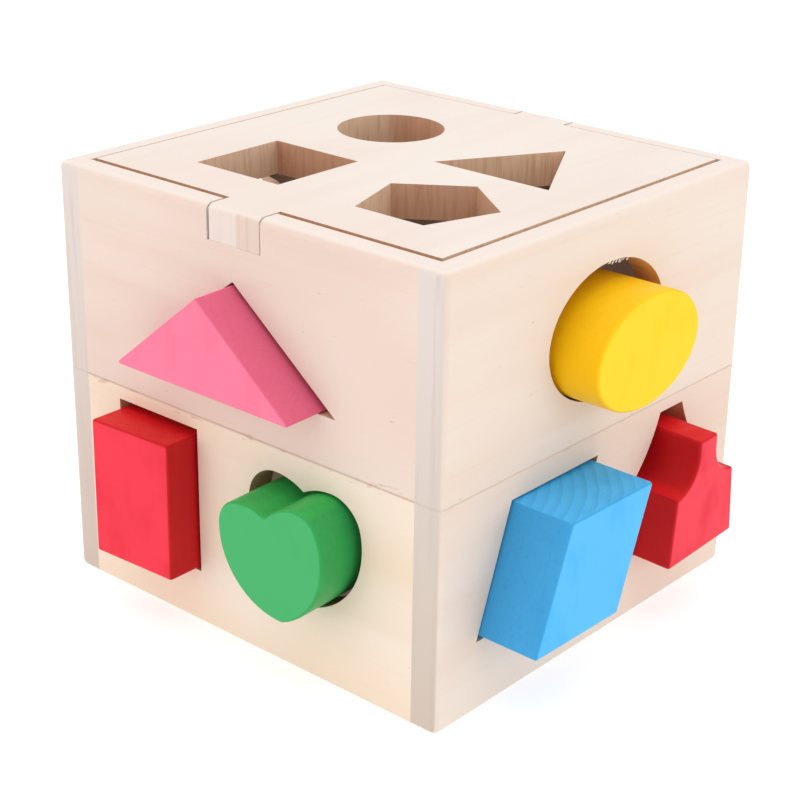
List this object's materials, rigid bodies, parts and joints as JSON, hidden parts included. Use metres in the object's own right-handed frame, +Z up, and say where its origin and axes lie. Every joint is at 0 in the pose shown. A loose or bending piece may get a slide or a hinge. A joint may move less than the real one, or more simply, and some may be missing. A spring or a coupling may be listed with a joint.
{
  "type": "shape sorter",
  "caption": "Wooden shape sorting box: boards with shaped holes, a lift-off lid and coloured blocks posted through matching holes.",
  "frame": {"origin": "centre of the underside of the bottom panel", "axes": "+Z up; -Y is the wall with the lid's notch and the wide triangle, +X the wall with the oval"},
  "size_m": [0.1852, 0.1587, 0.135],
  "materials": {
    "bare_wood": "sanded, unpainted",
    "paint_pink": "stained pink, satin, grain faintly visible",
    "paint_red": "stained red, satin, grain faintly visible",
    "paint_green": "stained green, satin, grain faintly visible",
    "paint_yellow": "stained yellow, satin, grain faintly visible",
    "paint_blue": "stained blue, satin, grain faintly visible"
  },
  "bodies": {
    "box": {"front_lower_board": "bare_wood", "front_upper_board": "bare_wood", "back_lower_board": "bare_wood", "back_upper_board": "bare_wood", "left_lower_board": "bare_wood", "left_upper_board": "bare_wood", "right_lower_board": "bare_wood", "right_upper_board": "bare_wood", "bottom_panel": "bare_wood"},
    "lid": {"lid_left_board": "bare_wood", "lid_right_board": "bare_wood"},
    "triangle_wide_block": {"triangle_wide_block": "paint_pink"},
    "rectangle_block": {"rectangle_block": "paint_red"},
    "heart_block": {"heart_block": "paint_green"},
    "oval_block": {"oval_block": "paint_yellow"},
    "slanted_block": {"slanted_block": "paint_blue"},
    "bell_block": {"bell_block": "paint_red"},
    "tapered_block": {"tapered_block": "paint_green"},
    "cross_block": {"cross_block": "paint_yellow"},
    "square_block": {"square_block": "paint_blue"},
    "round_block": {"round_block": "paint_green"},
    "triangle_block": {"triangle_block": "paint_yellow"},
    "pentagon_block": {"pentagon_block": "paint_pink"},
    "half_round_block": {"half_round_block": "paint_red"}
  },
  "joints": [
    {"name": "lid_lift", "type": "slide", "parent": "box", "child": "lid", "axis": [0, 0, 1], "range_m": [0, 0.06]},
    {"name": "triangle_wide_block_slide", "type": "slide", "parent": "box", "child": "triangle_wide_block", "axis": [0, -0.9998, -0.0175], "range_m": [-0.0134, 0.0216]},
    {"name": "rectangle_block_slide", "type": "slide", "parent": "box", "child": "rectangle_block", "axis": [0.0349, -0.9992, 0.0175], "range_m": [-0.0122, 0.0228]},
    {"name": "heart_block_slide", "type": "slide", "parent": "box", "child": "heart_block", "axis": [0.0349, -0.9994, 0], "range_m": [-0.014, 0.021]},
    {"name": "oval_block_slide", "type": "slide", "parent": "box", "child": "oval_block", "axis": [1, 0, 0], "range_m": [-0.014, 0.021]},
    {"name": "slanted_block_slide", "type": "slide", "parent": "box", "child": "slanted_block", "axis": [1, 0, -0.0087], "range_m": [-0.016, 0.015]},
    {"name": "bell_block_slide", "type": "slide", "parent": "box", "child": "bell_block", "axis": [0.9995, 0, -0.0314], "range_m": [-0.0145, 0.0205]},
    {"name": "tapered_block_slide", "type": "slide", "parent": "box", "child": "tapered_block", "axis": [-1, 0, 0], "range_m": [-0.015, 0.02]},
    {"name": "cross_block_slide", "type": "slide", "parent": "box", "child": "cross_block", "axis": [-1, 0, 0], "range_m": [-0.006, 0.02]},
    {"name": "square_block_lift", "type": "slide", "parent": "box", "child": "square_block", "axis": [0, 0, 1], "range_m": [0, 0.06]},
    {"name": "round_block_lift", "type": "slide", "parent": "box", "child": "round_block", "axis": [0, 0, 1], "range_m": [0, 0.06]},
    {"name": "triangle_block_lift", "type": "slide", "parent": "box", "child": "triangle_block", "axis": [0, 0, 1], "range_m": [0, 0.06]},
    {"name": "pentagon_block_lift", "type": "slide", "parent": "box", "child": "pentagon_block", "axis": [0, 0, 1], "range_m": [0, 0.06]},
    {"name": "half_round_block_lift", "type": "slide", "parent": "box", "child": "half_round_block", "axis": [0, 0, 1], "range_m": [0, 0.06]}
  ]
}
